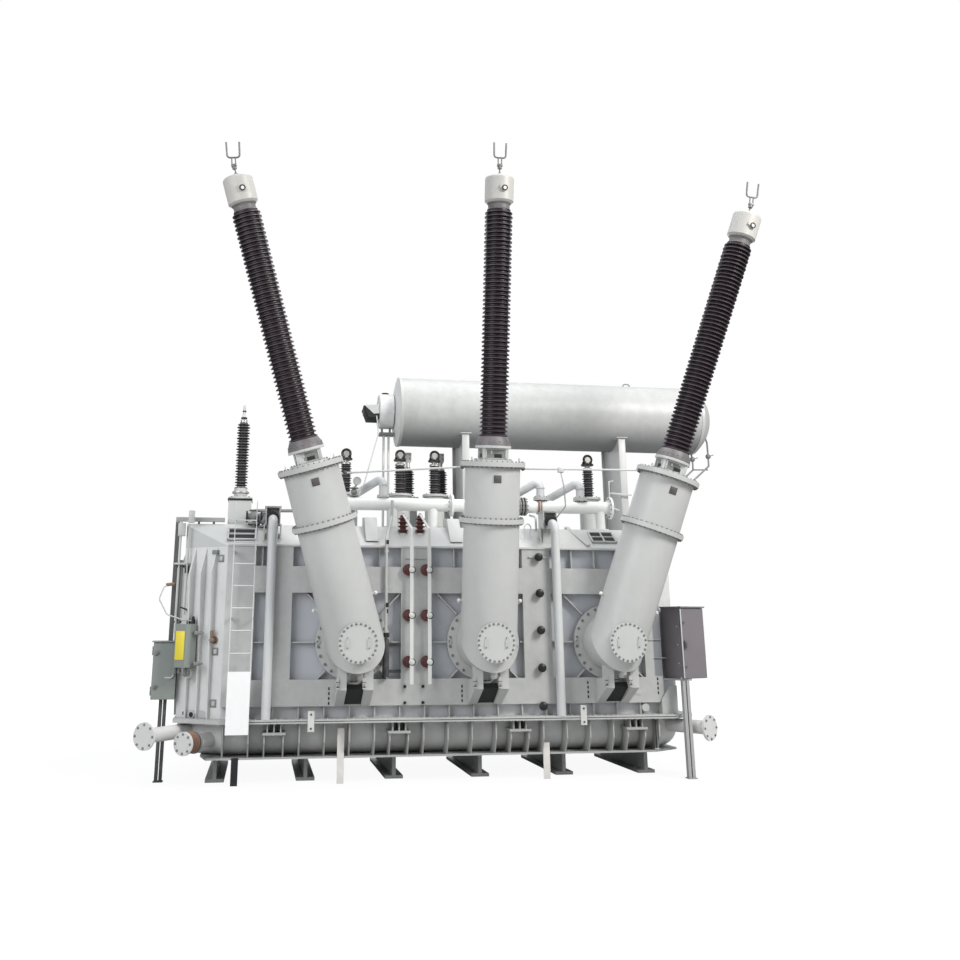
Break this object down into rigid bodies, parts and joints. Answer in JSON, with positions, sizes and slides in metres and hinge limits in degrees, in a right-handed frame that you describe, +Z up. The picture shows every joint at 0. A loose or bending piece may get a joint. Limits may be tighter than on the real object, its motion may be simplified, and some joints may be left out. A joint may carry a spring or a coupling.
{
  "type": "power transformer",
  "caption": "Oil-filled three-phase power transformer with inclined high-voltage bushings on elbow turrets, a conservator above the cover, ladder and control cabinets.",
  "frame": {"origin": "on the ground under the centre phase, on the tank's centreline", "axes": "+X to the right along the tank, +Y from the front to the rear, +Z up"},
  "size_m": [11.0474, 5.2726, 10.4773],
  "materials": {
    "tank_paint": "satin light grey",
    "brown_porcelain": "glossy dark brown glaze",
    "dark_porcelain": "glossy near-black glaze",
    "red_resin": "dark red cast resin",
    "black_moulding": "black moulding",
    "terminal_metal": "weathered aluminium",
    "cap_metal": "dull cast aluminium",
    "collar_metal": "dull purple-grey casting",
    "cabinet_paint": "satin dark purple-grey",
    "box_paint": "satin green-grey",
    "board_paint": "plain white",
    "strap_metal": "black coated strap",
    "base_paint": "satin mid grey",
    "tray_metal": "weathered grey",
    "bar_paint": "satin off-white",
    "gauge_paint": "dark grey"
  },
  "bodies": {
    "tank": {"cross_bearers": "base_paint", "base_plate": "base_paint", "lower_tank": "tank_paint", "base_gussets": "tank_paint", "jacking_pads": "tank_paint", "main_flange": "tank_paint", "earth_straps": "strap_metal", "upper_tank": "tank_paint", "tank_cover": "tank_paint", "wall_rails": "tank_paint", "wall_stiles": "tank_paint", "short_ribs": "tank_paint", "panel_ribs": "tank_paint", "end_ribs": "tank_paint", "turret_left": "tank_paint", "turret_centre": "tank_paint", "turret_right": "tank_paint", "turret_stubs": "tank_paint", "current_transformer_sections": "tank_paint", "manhole_covers": "tank_paint", "turret_legs": "tank_paint", "bushing_bases": "tank_paint", "bushing_collars": "collar_metal", "bushing_left": "brown_porcelain", "bushing_centre": "brown_porcelain", "bushing_right": "brown_porcelain", "bushing_caps": "cap_metal", "line_terminals": "terminal_metal", "conservator_shell": "tank_paint", "conservator_heads": "tank_paint", "tap_changer_conservator": "tank_paint", "level_gauge": "gauge_paint", "conservator_supports": "tank_paint", "oil_header": "tank_paint", "oil_risers": "tank_paint", "relief_pipes": "tank_paint", "relief_hoods": "tank_paint", "ladder": "tank_paint", "ladder_board": "board_paint", "small_bushing_turrets": "tank_paint", "small_bushings": "dark_porcelain", "small_bushing_terminals": "terminal_metal", "earth_bars": "bar_paint", "earth_insulators": "red_resin", "standoff_knobs": "black_moulding", "breather": "black_moulding", "cabinet_shell": "cabinet_paint", "terminal_box": "box_paint", "box_posts": "base_paint", "relay_box": "box_paint", "cable_trunking": "tray_metal", "oil_pipes": "tank_paint"},
    "control_cabinet_door": {"cabinet_door": "cabinet_paint"},
    "left_box_door": {"terminal_box_door": "box_paint"}
  },
  "joints": [
    {"name": "cabinet_door_hinge", "type": "hinge", "parent": "tank", "child": "control_cabinet_door", "pos_m": [3.84034, -1.75173, 2.14], "axis": [0, 0, 1], "range_deg": [0, 110]},
    {"name": "left_box_door_hinge", "type": "hinge", "parent": "tank", "child": "left_box_door", "pos_m": [-5.452, -1.052, 1.71], "axis": [0, 0, -1], "range_deg": [0, 110]}
  ]
}
